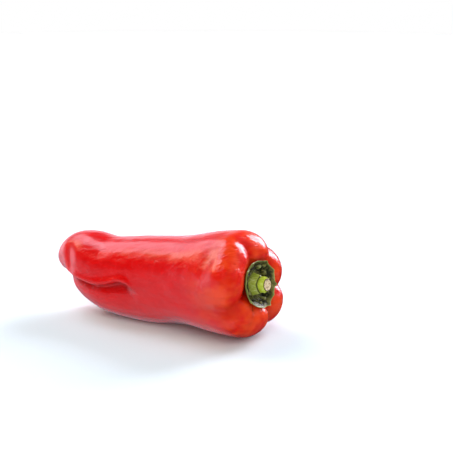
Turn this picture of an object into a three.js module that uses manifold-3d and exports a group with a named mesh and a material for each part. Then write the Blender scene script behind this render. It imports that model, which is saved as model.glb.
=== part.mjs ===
// A long sweet pepper, picked and laid on its side: the hollow red fruit, the green calyx that sits in
// the hollow of its shoulders, and the short cut stem. Millimetres, +Z up, the stem towards +X.
// The origin is at the bottom centre of the whole pepper's box.
import * as THREE from 'three';
import Module from 'manifold-3d';

// Driving dimensions, in millimetres and degrees.
const BODY_REACH = 165; // widest section of the shoulders to the foremost point of the nose
const SHOULDER_HEIGHT = 84; // the heights of the ribs below are shares of this
const SHOULDER_WIDTH = 83.5; // side to side at the widest section
const SHOULDER_DEPTH = 27.5; // widest section to the face around the stem
const HOLLOW_DEPTH = 14.5; // how far the calyx's seat lies below the shoulders
const HOLLOW_RADIUS = 18.5; // where that seat has risen by two thirds
const HOLLOW_POWER = 2.6; // above 2 the hollow has a flatter floor and steeper sides
const CALYX_DIAMETER = 37; // across the points of the calyx
const CALYX_THICKNESS = 1.6;
const CALYX_RIM_LIFT = 0.9; // how far the edge of the calyx curls up
const STEM_FOOT_DIAMETER = 20;
const STEM_CUT_DIAMETER = 9.3; // the face where the stem was cut
const STEM_LENGTH = 14.2; // seat of the stem to its cut face
const FOLD_DEPTH = 6.2; // depth of the fold below the lip, near the nose
const STEM_TURN = -11; // how far the stem end turns towards -Y
const STEM_RISE = 9; // how far the stem end turns up
const BEND_START = 30; // the turn begins this far behind the widest section
const BEND_RUN = 40; // and is complete this much further on
const FIT_GAP = 0.3; // clearance between neighbouring pieces

// Counts that set how finely the surfaces are faceted.
const AROUND = 72;
const SHOULDER_RINGS = 13;
const BODY_RINGS = 40;
const CROWDING = 0.35; // how much closer the lines along the body lie at the fold than on average
const FOLLOW_REACH = 45; // degrees around the fold over which those lines follow its lip

const SHOULDER_SHARE = 0.2; // share of a meridian that lies on the shoulders
const SHOULDER_POWER = 2.4; // above 2 the shoulders are fuller than an ellipse
const SECTION_POWER = 2.2; // the same for a cross-section of the body
const CALYX_POINTS = 8;

// The body's ribs, from the shoulders to the nose. Columns: place along the body, then the crest
// (share of BODY_REACH back, share of SHOULDER_HEIGHT up), the keel (the same two), and the near and
// far half widths as shares of SHOULDER_WIDTH. The nose curls down and ends in a point. The first row
// mirrors the third, so that the body is level where it meets the shoulders.
const RIBS = [
  [-0.12, -0.133, 0.925, -0.157, -0.027, 0.467, 0.479],
  [0.0, 0.0, 0.955, -0.018, -0.027, 0.497, 0.503],
  [0.12, 0.133, 0.925, 0.121, -0.027, 0.467, 0.479],
  [0.26, 0.303, 0.845, 0.303, -0.025, 0.407, 0.455],
  [0.42, 0.497, 0.794, 0.497, -0.022, 0.371, 0.419],
  [0.57, 0.679, 0.746, 0.648, 0.004, 0.371, 0.371],
  [0.67, 0.794, 0.77, 0.755, 0.058, 0.335, 0.335],
  [0.76, 0.885, 0.749, 0.83, 0.15, 0.287, 0.299],
  [0.84, 0.948, 0.68, 0.874, 0.26, 0.216, 0.228],
  [0.905, 0.991, 0.567, 0.9, 0.334, 0.162, 0.168],
  [0.955, 1.003, 0.465, 0.933, 0.358, 0.102, 0.102],
  [0.985, 0.985, 0.382, 0.952, 0.346, 0.05, 0.05],
  [1.0, 0.962, 0.344, 0.962, 0.344, 0.0, 0.0],
];

// The valleys between the lobes. Columns: place on the meridian (0 at the stem, 1 at the nose),
// angle from the crest towards +Y, depth in millimetres, and half width in degrees.
const VALLEYS = [
  [
    [0.0, 255, 0, 14], [0.06, 253, 4.0, 12], [0.12, 248, 6.5, 13], [0.19, 252, 4.6, 14],
    [0.29, 257, 1.8, 16], [0.39, 261, 0.9, 18], [0.5, 262, 0.6, 18], [0.6, 263, 0, 14], [1.0, 263, 0, 30],
  ],
  [
    [0.0, 348, 0, 12], [0.06, 348, 3.0, 10], [0.12, 348, 3.4, 11], [0.19, 346, 1.3, 14],
    [0.3, 344, 0.3, 18], [0.45, 340, 0, 20], [1.0, 340, 0, 20],
  ],
  [
    [0.0, 46, 0, 12], [0.06, 46, 3.2, 10], [0.12, 48, 5.5, 11], [0.2, 49, 4.4, 13],
    [0.3, 49, 3.0, 16], [0.45, 49, 2.0, 20], [0.7, 49, 1.5, 22], [0.9, 46, 0.8, 24], [1.0, 46, 0, 24],
  ],
  [
    [0.0, 106, 0, 12], [0.06, 106, 4.0, 10], [0.12, 104, 6.5, 12], [0.2, 104, 5.2, 14], [0.3, 104, 3.4, 16],
    [0.45, 105, 2.5, 18], [0.7, 107, 3.0, 18], [0.82, 112, 5.0, 18], [0.9, 130, 4.0, 20], [1.0, 160, 0, 24],
  ],
  [
    [0.0, 162, 0, 12], [0.06, 162, 3.6, 9], [0.12, 161, 5.0, 9], [0.2, 160, 3.2, 10],
    [0.3, 160, 1.6, 12], [0.45, 160, 1.0, 14], [0.7, 165, 0.8, 18], [1.0, 165, 0, 20],
  ],
  [
    [0.0, 212, 0, 9], [0.06, 211, 2.2, 8], [0.1, 209, 1.6, 8], [0.15, 207, 0.4, 9],
    [0.25, 204, 0, 10], [1.0, 204, 0, 10],
  ],
];
// The swelling of the near lobe, the dent behind it, the arch of the near underside, and the waist of the
// nose's tip. Columns: place on the meridian, angle, height in millimetres, and reach along (share of the
// meridian) and around (degrees).
const SWELLINGS = [
  [0.13, 286, 4.5, 0.05, 22],
  [0.2, 312, -3.4, 0.07, 22],
  [0.37, 208, -4.2, 0.08, 32],
  [0.25, 208, -1.8, 0.08, 28],
  [0.8, 290, -2.2, 0.028, 28],
];
const VALLEY_ROUNDING = 0.3; // radius of a valley's floor as a share of its half width

// The fold on the near side, where the nose lobe laps over the chin. Columns: place on the meridian,
// angle of the lip, depth as a share of FOLD_DEPTH, and its reach below and above the lip in degrees.
const FOLD_ANGLE = 262;
const FOLD = [
  [0.49, 262, 0, 18, 3], [0.515, 267, 0.32, 19, 3], [0.54, 272.5, 0.89, 18, 3], [0.575, 273.5, 1.05, 16, 3],
  [0.61, 269, 0.97, 14, 3], [0.66, 264.5, 0.89, 12, 3], [0.73, 259.5, 1.0, 11, 4], [0.79, 253, 0.9, 12, 7],
  [0.85, 245, 0.75, 13, 12], [0.9, 238, 0.4, 16, 16], [0.94, 230, 0, 20, 18], [1.0, 210, 0, 30, 18],
];
const FOLD_POWER = 1.4; // below 2 the floor of the fold rises from right under the lip

// The rounded lip above the fold. Columns: place on the meridian, height in millimetres, and how far
// above the lip's edge and how wide it is, in degrees.
const LIP_ROLL = [
  [0.49, 0, 7, 6], [0.54, 1.5, 7, 6], [0.62, 1.7, 7, 6], [0.7, 1.6, 8, 6], [0.77, 2.0, 10, 8],
  [0.83, 0.9, 13, 10], [0.88, 0.4, 16, 12], [0.93, 0, 18, 14], [1.0, 0, 20, 14],
];

const wasm = await Module();
wasm.setup();

// A smooth curve through rows of numbers, at a place given in the rows' first column.
function smoothRow(rows, place) {
  const last = rows.length - 1;
  const at = THREE.MathUtils.clamp(place, rows[0][0], rows[last][0]);
  let i = 0;
  while (i < last - 1 && at >= rows[i + 1][0]) i += 1;
  const step = rows[i + 1][0] - rows[i][0];
  const s = (at - rows[i][0]) / step;
  const slope = (row, column) => {
    const before = rows[Math.max(row - 1, 0)];
    const after = rows[Math.min(row + 1, last)];
    return (after[column] - before[column]) / (after[0] - before[0]);
  };
  return rows[i].slice(1).map((value, index) => {
    const column = index + 1;
    const h1 = s * s * (3 - 2 * s);
    const h2 = s * (1 - s) * (1 - s) * step;
    const h3 = s * s * (s - 1) * step;
    return value + (rows[i + 1][column] - value) * h1 + slope(i, column) * h2 + slope(i + 1, column) * h3;
  });
}

// Distance from a section's centre to its edge, on a rounded oval.
function ovalRadius(angle, up, across) {
  const c = Math.abs(Math.cos(angle) / Math.max(up, 1e-3));
  const s = Math.abs(Math.sin(angle) / Math.max(across, 1e-3));
  return (c ** SECTION_POWER + s ** SECTION_POWER) ** (-1 / SECTION_POWER);
}

// The rib at a place on the body: its centre, half sizes, and the directions up and towards the stem.
function ribAt(place) {
  const [crestBack, crestUp, keelBack, keelUp, near, far] = smoothRow(RIBS, place);
  const crest = new THREE.Vector3(-crestBack * BODY_REACH, 0, crestUp * SHOULDER_HEIGHT);
  const keel = new THREE.Vector3(-keelBack * BODY_REACH, 0, keelUp * SHOULDER_HEIGHT);
  const up = crest.clone().sub(keel);
  const height = up.length();
  if (height > 0) up.divideScalar(height);
  const centre = crest.add(keel).multiplyScalar(0.5);
  const forward = new THREE.Vector3(up.z, 0, -up.x);
  return { centre, up, forward, height: height / 2, near: near * SHOULDER_WIDTH, far: far * SHOULDER_WIDTH };
}

// Turns the stem end of the body up and to the side.
function bendStemEnd(point) {
  const run = (point.x + BEND_START) / BEND_RUN;
  if (run <= 0) return point;
  const amount = Math.min(run, 1);
  const travel = (run < 1 ? (run * run) / 2 : run - 0.5) * BEND_RUN;
  const turn = Math.tan(THREE.MathUtils.degToRad(STEM_TURN));
  const rise = Math.tan(THREE.MathUtils.degToRad(STEM_RISE));
  const shear = -point.y * turn - (point.z - SHOULDER_HEIGHT / 2) * rise;
  return new THREE.Vector3(point.x + shear * amount, point.y + travel * turn, point.z + travel * rise);
}

// How far the shoulders stand out beyond the widest section, at a share of the way out from the stem.
function shoulderOut(share, section) {
  const dome = SHOULDER_DEPTH * Math.max(1 - share ** SHOULDER_POWER, 0) ** (1 / SHOULDER_POWER);
  const hollow = HOLLOW_DEPTH * Math.exp(-((share * section / HOLLOW_RADIUS) ** HOLLOW_POWER));
  return dome - hollow;
}

// A point on the smooth body, before its valleys and its fold.
function smoothPoint(v, angle) {
  const onShoulder = v < SHOULDER_SHARE;
  const rib = ribAt(onShoulder ? 0 : (v - SHOULDER_SHARE) / (1 - SHOULDER_SHARE));
  const section = ovalRadius(angle, rib.height, Math.sin(angle) > 0 ? rib.far : rib.near);
  const share = onShoulder ? Math.sin(v / SHOULDER_SHARE * Math.PI / 2) : 1;
  const point = rib.centre.clone();
  point.addScaledVector(rib.up, share * section * Math.cos(angle));
  point.y += share * section * Math.sin(angle);
  if (onShoulder) point.addScaledVector(rib.forward, shoulderOut(share, section));
  return bendStemEnd(point);
}

// Signed difference of two angles in degrees.
function turnBetween(from, to) {
  return THREE.MathUtils.euclideanModulo(to - from + 180, 360) - 180;
}

// Height of the lobed surface over the smooth body: the valleys and the fold, in millimetres.
function relief(v, angle) {
  const degrees = THREE.MathUtils.radToDeg(angle);
  let height = 0;
  for (const valley of VALLEYS) {
    const [middle, depth, width] = smoothRow(valley, v);
    const round = VALLEY_ROUNDING * width;
    const away = Math.hypot(turnBetween(middle, degrees), round) - round;
    height -= Math.max(depth, 0) * Math.exp(-away / width);
  }
  for (const [place, middle, swell, reach, spread] of SWELLINGS) {
    const around = turnBetween(middle, degrees) / spread;
    height += swell * Math.exp(-(((v - place) / reach) ** 2) - around ** 2);
  }
  const [lip, share, below, above] = smoothRow(FOLD, v);
  const depth = v > FOLD[0][0] ? Math.max(share, 0) * FOLD_DEPTH : 0;
  const over = turnBetween(lip, degrees);
  const reach = over > 0 ? above : below;
  height -= depth * Math.exp(-(Math.abs(over / reach) ** FOLD_POWER));
  const [roll, rollMiddle, rollWidth] = smoothRow(LIP_ROLL, v);
  return height + Math.max(roll, 0) * Math.exp(-(((over - rollMiddle) / rollWidth) ** 2));
}

// A point on the pepper's skin, or a little above it. It lies flat where it would dip below the table.
function skinPoint(v, angle, above = 0) {
  const nudge = 1e-3;
  const point = smoothPoint(v, angle);
  const along = smoothPoint(Math.min(v + nudge, 1), angle).sub(smoothPoint(Math.max(v - nudge, 0), angle));
  const around = smoothPoint(v, angle + nudge).sub(smoothPoint(v, angle - nudge));
  const outward = around.cross(along);
  if (outward.length() > 0) point.addScaledVector(outward.normalize(), relief(v, angle) + above);
  point.z = Math.max(point.z, -above);
  return point;
}

// A closed mesh over rings of points, with a single point at each end. The rings run anticlockwise
// when seen from beyond the last end.
function closedLoft(first, rings, final) {
  const count = rings[0].length;
  const points = [first, ...rings.flat(), final];
  const index = [];
  const at = (ring, k) => 1 + ring * count + (k % count);
  for (let k = 0; k < count; k += 1) index.push(0, at(0, k + 1), at(0, k));
  for (let ring = 0; ring < rings.length - 1; ring += 1) {
    for (let k = 0; k < count; k += 1) {
      index.push(at(ring, k), at(ring, k + 1), at(ring + 1, k + 1));
      index.push(at(ring, k), at(ring + 1, k + 1), at(ring + 1, k));
    }
  }
  const end = rings.length - 1;
  for (let k = 0; k < count; k += 1) index.push(at(end, k), at(end, k + 1), points.length - 1);
  const geometry = new THREE.BufferGeometry();
  geometry.setAttribute('position', new THREE.Float32BufferAttribute(points.flatMap((p) => p.toArray()), 3));
  geometry.setIndex(index);
  return geometry;
}

// The places of the fruit's rings: closer together on the shoulders than on the body.
function ringPlaces() {
  const places = [];
  for (let i = 1; i <= SHOULDER_RINGS; i += 1) places.push(SHOULDER_SHARE * i / SHOULDER_RINGS);
  for (let i = 1; i < BODY_RINGS; i += 1) {
    places.push(SHOULDER_SHARE + (1 - SHOULDER_SHARE) * Math.sin(i / BODY_RINGS * Math.PI / 2) ** 1.15);
  }
  return places;
}

// The angle of a line along the body. The lines crowd towards the fold and follow its lip.
function lineAngle(v, k) {
  const even = FOLD_ANGLE + k / AROUND * 360;
  const crowded = even - CROWDING * THREE.MathUtils.radToDeg(Math.sin(k / AROUND * 2 * Math.PI));
  const [lip] = smoothRow(FOLD, v);
  const follow = Math.exp(-((turnBetween(FOLD_ANGLE, crowded) / FOLLOW_REACH) ** 2));
  return THREE.MathUtils.degToRad(crowded + (lip - FOLD_ANGLE) * follow);
}

function fruitGeometry(above = 0) {
  const ring = (v) => Array.from({ length: AROUND }, (_, k) => skinPoint(v, lineAngle(v, k), above));
  return closedLoft(seatPoint(0, 0, above), ringPlaces().map(ring), skinPoint(1, 0, above));
}

function toSolid(geometry) {
  const triVerts = new Uint32Array(geometry.index.array);
  const vertProperties = new Float32Array(geometry.attributes.position.array);
  return new wasm.Manifold(new wasm.Mesh({ numProp: 3, vertProperties, triVerts }));
}

function fromSolid(solid) {
  const { vertProperties, triVerts } = solid.getMesh();
  const geometry = new THREE.BufferGeometry();
  geometry.setAttribute('position', new THREE.BufferAttribute(vertProperties, 3));
  geometry.setIndex(new THREE.BufferAttribute(triVerts, 1));
  return geometry;
}

// Directions at the stem end: along the stem, up, and across.
const stemAxis = new THREE.Vector3(
  1,
  Math.tan(THREE.MathUtils.degToRad(STEM_TURN)),
  Math.tan(THREE.MathUtils.degToRad(STEM_RISE)),
).normalize();

// A point over the hollow of the shoulders, at a radius from the stem's axis and a height along it.
function seatPoint(radius, angle, lift) {
  const rib = ribAt(0);
  const section = ovalRadius(angle, rib.height, Math.sin(angle) > 0 ? rib.far : rib.near);
  const v = SHOULDER_SHARE * Math.asin(Math.min(radius / section, 1)) / (Math.PI / 2);
  return smoothPoint(v, angle).addScaledVector(stemAxis, lift);
}

// Radius of the calyx's outline: straight edges between blunt points.
function calyxRadius(angle) {
  const sector = 2 * Math.PI / CALYX_POINTS;
  const fromMiddle = THREE.MathUtils.euclideanModulo(angle, sector) - sector / 2;
  return CALYX_DIAMETER / 2 * Math.cos(sector / 2) / Math.cos(fromMiddle);
}

function calyxGeometry() {
  const ring = (share, lift) => Array.from({ length: AROUND }, (_, k) => {
    const angle = k / AROUND * 2 * Math.PI;
    return seatPoint(share * calyxRadius(angle), angle, lift);
  });
  const top = FIT_GAP + CALYX_THICKNESS;
  const under = -CALYX_THICKNESS; // dips into the valleys before the fruit is cut away
  const rim = top + CALYX_RIM_LIFT;
  const blank = closedLoft(
    seatPoint(0, 0, top),
    [
      ring(0.15, top), ring(0.3, top), ring(0.45, top), ring(0.6, top), ring(0.82, top), ring(0.94, rim),
      ring(1, rim), ring(1, under + CALYX_RIM_LIFT), ring(0.92, under), ring(0.7, under), ring(0.35, under),
    ],
    seatPoint(0, 0, under),
  );
  return fromSolid(toSolid(blank).subtract(toSolid(fruitGeometry(FIT_GAP))));
}

function stemGeometry() {
  const seat = FIT_GAP + CALYX_THICKNESS + FIT_GAP;
  const foot = STEM_FOOT_DIAMETER / 2;
  const cut = STEM_CUT_DIAMETER / 2;
  const ribs = 6;
  const footRing = (share, lift) => Array.from({ length: AROUND / 2 }, (_, k) => {
    const angle = 2 * k / AROUND * 2 * Math.PI;
    return seatPoint(share * foot, angle, seat + lift);
  });
  const pole = seatPoint(0, 0, seat);
  const across = new THREE.Vector3(0, 1, 0).projectOnPlane(stemAxis).normalize();
  const up = stemAxis.clone().cross(across);
  const collarRing = (radius, height, ribbing) => Array.from({ length: AROUND / 2 }, (_, k) => {
    const angle = 2 * k / AROUND * 2 * Math.PI;
    const reach = radius * (1 + ribbing * Math.cos(ribs * angle));
    const point = pole.clone().addScaledVector(stemAxis, height);
    return point.addScaledVector(up, reach * Math.cos(angle)).addScaledVector(across, reach * Math.sin(angle));
  });
  const waist = THREE.MathUtils.lerp(foot, cut, 0.62);
  const neck = THREE.MathUtils.lerp(foot, cut, 0.85);
  return closedLoft(
    pole.clone().addScaledVector(stemAxis, STEM_LENGTH),
    [
      collarRing(cut * 0.94, STEM_LENGTH, 0),
      collarRing(cut, STEM_LENGTH * 0.97, 0),
      collarRing(neck, STEM_LENGTH * 0.82, 0.02),
      collarRing(neck, STEM_LENGTH * 0.64, 0.02),
      collarRing(waist, STEM_LENGTH * 0.56, 0.05),
      collarRing(THREE.MathUtils.lerp(foot, cut, 0.3), STEM_LENGTH * 0.36, 0.05),
      footRing(1, 0.6), footRing(1, 0), footRing(0.7, 0), footRing(0.35, 0),
    ],
    pole,
  );
}

function piece(name, geometry, color, roughness) {
  const material = new THREE.MeshStandardMaterial({ color, roughness, metalness: 0 });
  const mesh = new THREE.Mesh(geometry, material);
  mesh.name = name;
  return mesh;
}

const group = new THREE.Group();
group.add(piece('fruit', fruitGeometry(), '#d8140c', 0.18));
group.add(piece('calyx', calyxGeometry(), '#4d5f22', 0.6));
group.add(piece('stem', stemGeometry(), '#8fa53a', 0.5));

// The origin goes to the bottom centre of the whole pepper's box.
const box = new THREE.Box3().setFromObject(group);
const middle = box.getCenter(new THREE.Vector3());
group.position.set(-middle.x, -middle.y, -box.min.z);
group.updateMatrixWorld(true);

export default group;
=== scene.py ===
import math
from functools import partial

import bpy
import numpy as np
from mathutils import Matrix, Vector


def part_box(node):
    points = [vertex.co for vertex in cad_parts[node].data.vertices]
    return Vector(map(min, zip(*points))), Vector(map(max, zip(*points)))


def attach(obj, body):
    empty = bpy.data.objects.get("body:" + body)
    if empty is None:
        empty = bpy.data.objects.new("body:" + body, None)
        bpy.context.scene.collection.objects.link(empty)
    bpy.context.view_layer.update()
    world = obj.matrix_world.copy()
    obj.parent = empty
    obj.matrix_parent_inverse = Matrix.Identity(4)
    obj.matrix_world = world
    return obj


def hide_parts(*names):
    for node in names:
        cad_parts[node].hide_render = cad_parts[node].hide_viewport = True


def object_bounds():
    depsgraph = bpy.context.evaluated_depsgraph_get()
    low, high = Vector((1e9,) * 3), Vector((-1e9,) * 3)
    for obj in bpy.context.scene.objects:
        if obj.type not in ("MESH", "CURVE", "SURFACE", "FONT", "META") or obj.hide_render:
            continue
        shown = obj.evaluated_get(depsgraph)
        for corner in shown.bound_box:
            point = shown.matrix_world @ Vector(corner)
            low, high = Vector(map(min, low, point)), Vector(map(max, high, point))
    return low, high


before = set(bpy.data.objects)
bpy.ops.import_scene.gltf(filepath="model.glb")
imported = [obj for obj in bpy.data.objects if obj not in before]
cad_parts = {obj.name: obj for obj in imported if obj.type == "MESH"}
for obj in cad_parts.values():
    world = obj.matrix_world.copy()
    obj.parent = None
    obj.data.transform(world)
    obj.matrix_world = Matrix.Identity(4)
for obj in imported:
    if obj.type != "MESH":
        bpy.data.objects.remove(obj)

# A long red sweet pepper, picked and laid on its side. The fruit, the calyx and the stem are
# rebuilt here at full detail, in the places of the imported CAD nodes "fruit", "calyx" and "stem".
# Shapes are worked out in millimetres in the pepper's own frame: the widest section of the
# shoulders at X = 0, the stem towards +X, and +Z up. The CAD box of the fruit then gives their
# places in metres.

MM = 0.001
CAD_LOW, CAD_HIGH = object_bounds()
BODY = "root"

# ---------------------------------------------------------------- sizes, in millimetres and degrees
BODY_REACH = 165  # widest section of the shoulders to the foremost point of the nose
SHOULDER_HEIGHT = 84
SHOULDER_WIDTH = 83.5
SHOULDER_DEPTH = 27.5  # widest section to the face around the stem
HOLLOW_DEPTH = 14.5  # how far the calyx's seat lies below the shoulders
HOLLOW_RADIUS = 18.5
HOLLOW_POWER = 2.6  # above 2 the hollow has a flat floor and steeper sides
CALYX_RADIUS = 18.1
STEM_FOOT_RADIUS = 10
STEM_CUT_RADIUS = 4.65
STEM_LENGTH = 14.2
SEAT_LIFT = 0.3  # clearance of the calyx over the fruit
CALYX_THICKNESS = 1.3
FOLD_DEPTH = 6.2
STEM_TURN = -11
STEM_RISE = 9
BEND_START = 30
BEND_RUN = 40
SHOULDER_SHARE = 0.2  # share of a meridian that lies on the shoulders
SHOULDER_POWER = 2.4
SECTION_POWER = 2.2
RESTING_ROUND = 0.8  # the rim of the flat that the pepper rests on is rounded over this height

# Ribs from the shoulders to the nose: place, crest back and up, keel back and up, near and far
# half widths, as shares of BODY_REACH, SHOULDER_HEIGHT and SHOULDER_WIDTH. The first row mirrors
# the third, so that the body is level where it meets the shoulders.
RIBS = (
    (-0.12, -0.133, 0.925, -0.157, -0.027, 0.467, 0.479),
    (0.0, 0.0, 0.955, -0.018, -0.027, 0.497, 0.503),
    (0.12, 0.133, 0.925, 0.121, -0.027, 0.467, 0.479),
    (0.26, 0.303, 0.845, 0.303, -0.025, 0.407, 0.455),
    (0.42, 0.497, 0.794, 0.497, -0.022, 0.371, 0.419),
    (0.57, 0.679, 0.746, 0.648, 0.004, 0.371, 0.371),
    (0.67, 0.794, 0.77, 0.755, 0.058, 0.335, 0.335),
    (0.76, 0.885, 0.749, 0.83, 0.15, 0.287, 0.299),
    (0.84, 0.948, 0.68, 0.874, 0.26, 0.216, 0.228),
    (0.905, 0.991, 0.567, 0.9, 0.334, 0.162, 0.168),
    (0.955, 1.003, 0.465, 0.933, 0.358, 0.102, 0.102),
    (0.985, 0.985, 0.382, 0.952, 0.346, 0.05, 0.05),
    (1.0, 0.962, 0.344, 0.962, 0.344, 0.0, 0.0),
)

# Valleys between the lobes, each in rows from the stem to the nose: place on the meridian, angle
# from the crest towards +Y, depth, half width.
VALLEYS = (
    (  # near side
        (0.0, 255, 0, 14), (0.06, 253, 4.0, 12), (0.12, 248, 6.5, 13), (0.19, 252, 4.6, 14),
        (0.29, 257, 1.8, 16), (0.39, 261, 0.9, 18), (0.5, 262, 0.6, 18), (0.6, 263, 0, 14),
        (1.0, 263, 0, 30),
    ),
    (  # just on the near side of the crest
        (0.0, 348, 0, 12), (0.06, 348, 3.0, 10), (0.12, 348, 3.4, 11), (0.19, 346, 1.3, 14),
        (0.3, 344, 0.3, 18), (0.45, 340, 0, 20), (1.0, 340, 0, 20),
    ),
    (  # far side of the crest
        (0.0, 46, 0, 12), (0.06, 46, 3.2, 10), (0.12, 48, 5.5, 11), (0.2, 49, 4.4, 13),
        (0.3, 49, 3.0, 16), (0.45, 49, 2.0, 20), (0.7, 49, 1.5, 22), (0.9, 46, 0.8, 24),
        (1.0, 46, 0, 24),
    ),
    (  # far side, all the way to the nose
        (0.0, 106, 0, 12), (0.06, 106, 4.0, 10), (0.12, 104, 6.5, 12), (0.2, 104, 5.2, 14),
        (0.3, 104, 3.4, 16), (0.45, 105, 2.5, 18), (0.7, 107, 3.0, 18), (0.82, 112, 5.0, 18),
        (0.9, 130, 4.0, 20), (1.0, 160, 0, 24),
    ),
    (  # far underside
        (0.0, 162, 0, 12), (0.06, 162, 3.6, 9), (0.12, 161, 5.0, 9), (0.2, 160, 3.2, 10),
        (0.3, 160, 1.6, 12), (0.45, 160, 1.0, 14), (0.7, 165, 0.8, 18), (1.0, 165, 0, 20),
    ),
    (  # near underside
        (0.0, 212, 0, 9), (0.06, 211, 2.2, 8), (0.1, 209, 1.6, 8), (0.15, 207, 0.4, 9),
        (0.25, 204, 0, 10), (1.0, 204, 0, 10),
    ),
)
VALLEY_ROUNDING = 0.3

# The swelling of the near lobe, the dent behind it, the arch of the near underside in two parts,
# and the waist of the nose's tip: place on the meridian, angle, height, reach along as a share,
# and reach around in degrees.
SWELLINGS = (
    (0.13, 286, 4.5, 0.05, 22),
    (0.2, 312, -3.4, 0.07, 22),
    (0.37, 208, -4.2, 0.08, 32),
    (0.25, 208, -1.8, 0.08, 28),
    (0.8, 290, -2.2, 0.028, 28),
)

# The fold on the near side: place, angle of its lip, depth as a share of FOLD_DEPTH, and reach
# below and above the lip in degrees.
FOLD_ANGLE = 262
FOLD = (
    (0.49, 262, 0, 18, 3), (0.515, 267, 0.32, 19, 3), (0.54, 272.5, 0.89, 18, 3),
    (0.575, 273.5, 1.05, 16, 3), (0.61, 269, 0.97, 14, 3), (0.66, 264.5, 0.89, 12, 3),
    (0.73, 259.5, 1.0, 11, 4), (0.79, 253, 0.9, 12, 7), (0.85, 245, 0.75, 13, 12),
    (0.9, 238, 0.4, 16, 16), (0.94, 230, 0, 20, 18), (1.0, 210, 0, 30, 18),
)
FOLD_POWER = 1.4  # below 2 the floor of the fold rises from right under the lip

# The rounded lip above the fold: place, height, and how far above the lip's edge it stands and
# how wide it is, in degrees.
LIP_ROLL = (
    (0.49, 0, 7, 6), (0.54, 1.5, 7, 6), (0.62, 1.7, 7, 6), (0.7, 1.6, 8, 6), (0.77, 2.0, 10, 8),
    (0.83, 0.9, 13, 10), (0.88, 0.4, 16, 12), (0.93, 0, 18, 14), (1.0, 0, 20, 14),
)

# Corners and teeth of the calyx: angle from the crest towards +Y, reach as a share of
# CALYX_RADIUS, and how sharp a tooth stands there.
CALYX_TEETH = (
    (4, 0.98, 0), (31, 0.99, 0.7), (66, 1.0, 0), (103, 0.93, 0.8), (134, 0.92, 0),
    (164, 0.98, 0.6), (188, 0.98, 0), (212, 0.97, 0), (239, 1.06, 0.2), (262, 1.0, 0),
    (285, 1.04, 0), (311, 1.06, 0.9), (338, 1.03, 0.2),
)
TOOTH_REACH = 0.055  # of the sharpest tooth, as a share of CALYX_RADIUS
TOOTH_WIDTH = 4  # degrees
EDGE_BOW = 0.005  # how far an edge bows out between two corners, as a share of CALYX_RADIUS
RIDGE_WIDTH = 7  # degrees, of the ridge that runs out to each corner
RIDGE_HEIGHT = 0.4  # and as much again at a sharp tooth
EDGE_CURL = 0.8
CREASE_DEPTH = 0.1  # as a share of twice the folds' height
# Waves round the calyx, inner dip, raised ring and outer dip: how far out from the ring, height,
# half width. Distances are shares of the calyx's reach.
CALYX_RING = 0.7
CALYX_WAVES = ((-0.09, -0.4, 0.03), (0.0, 1.3, 0.05), (0.1, -0.5, 0.04))

# Outline of the stem: height above its foot as a share, and how far its radius lies between those
# of the cut and the foot.
STEM_PROFILE = (
    (0.0, 1.0), (0.1, 0.96), (0.3, 0.72), (0.52, 0.52), (0.57, 0.38), (0.61, 0.3), (0.68, 0.3),
    (0.8, 0.24), (0.93, 0.1), (1.0, 0.0),
)
STEM_CORNERS = 5
CORNERS_FADE = (0.75, 0.4)  # heights, as shares, where the corners begin and are fully there
PITH_EDGE = (0.97, 0.8)  # shares of the radius over which the cut sinks from its rim to its pith
PITH_SINK = 0.45
PITH_LUMPS = 1.6  # spacing of the lumps
PITH_ROUGHNESS = 0.35
VESSEL_RING = 0.62  # share of the cut's radius at which the sap vessels stand
VESSEL_SINK = 0.42  # middles of the vessels below the rim of the cut
VESSEL_SIZES = (0.6, 1.25)


# ---------------------------------------------------------------- small helpers
def linear(colour):
    """An sRGB hex colour as linear RGBA."""
    parts = [int(colour[i:i + 2], 16) / 255 for i in (1, 3, 5)]
    return (*[p / 12.92 if p <= 0.04045 else ((p + 0.055) / 1.055) ** 2.4 for p in parts], 1.0)


def feed(tree, node, values):
    """Sets inputs of a node. values maps an input's name or number to a constant, or to the
    socket that feeds it."""
    for key, value in values.items():
        if isinstance(value, bpy.types.NodeSocket):
            tree.links.new(value, node.inputs[key])
        else:
            node.inputs[key].default_value = value


def add_node(tree, kind, values=None, **settings):
    """Adds a node, with settings of its own and values for its inputs."""
    node = tree.nodes.new(kind)
    for name, value in settings.items():
        setattr(node, name, value)
    feed(tree, node, values or {})
    return node


def tree_math(tree, operation, first, second=0.0, third=0.0):
    values = {0: first, 1: second, 2: third}
    return add_node(tree, "ShaderNodeMath", values, operation=operation).outputs[0]


def remap(tree, value, start, end, low=0.0, high=1.0):
    """low where value is start, high where it is end, and smooth between them."""
    return add_node(tree, "ShaderNodeMapRange", {
        "Value": value, "From Min": start, "From Max": end, "To Min": low, "To Max": high,
    }, interpolation_type="SMOOTHSTEP").outputs["Result"]


def mix_colour(tree, factor, first, second):
    """Mixes two colours, each an sRGB hex colour or a socket."""
    first, second = [linear(c) if isinstance(c, str) else c for c in (first, second)]
    values = {0: factor, 6: first, 7: second}
    return add_node(tree, "ShaderNodeMix", values, data_type="RGBA").outputs[2]


def new_material(name):
    """A new material, its tree and its shader."""
    material = bpy.data.materials.new(name)
    material.use_nodes = True
    return material, material.node_tree, material.node_tree.nodes["Principled BSDF"]


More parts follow.
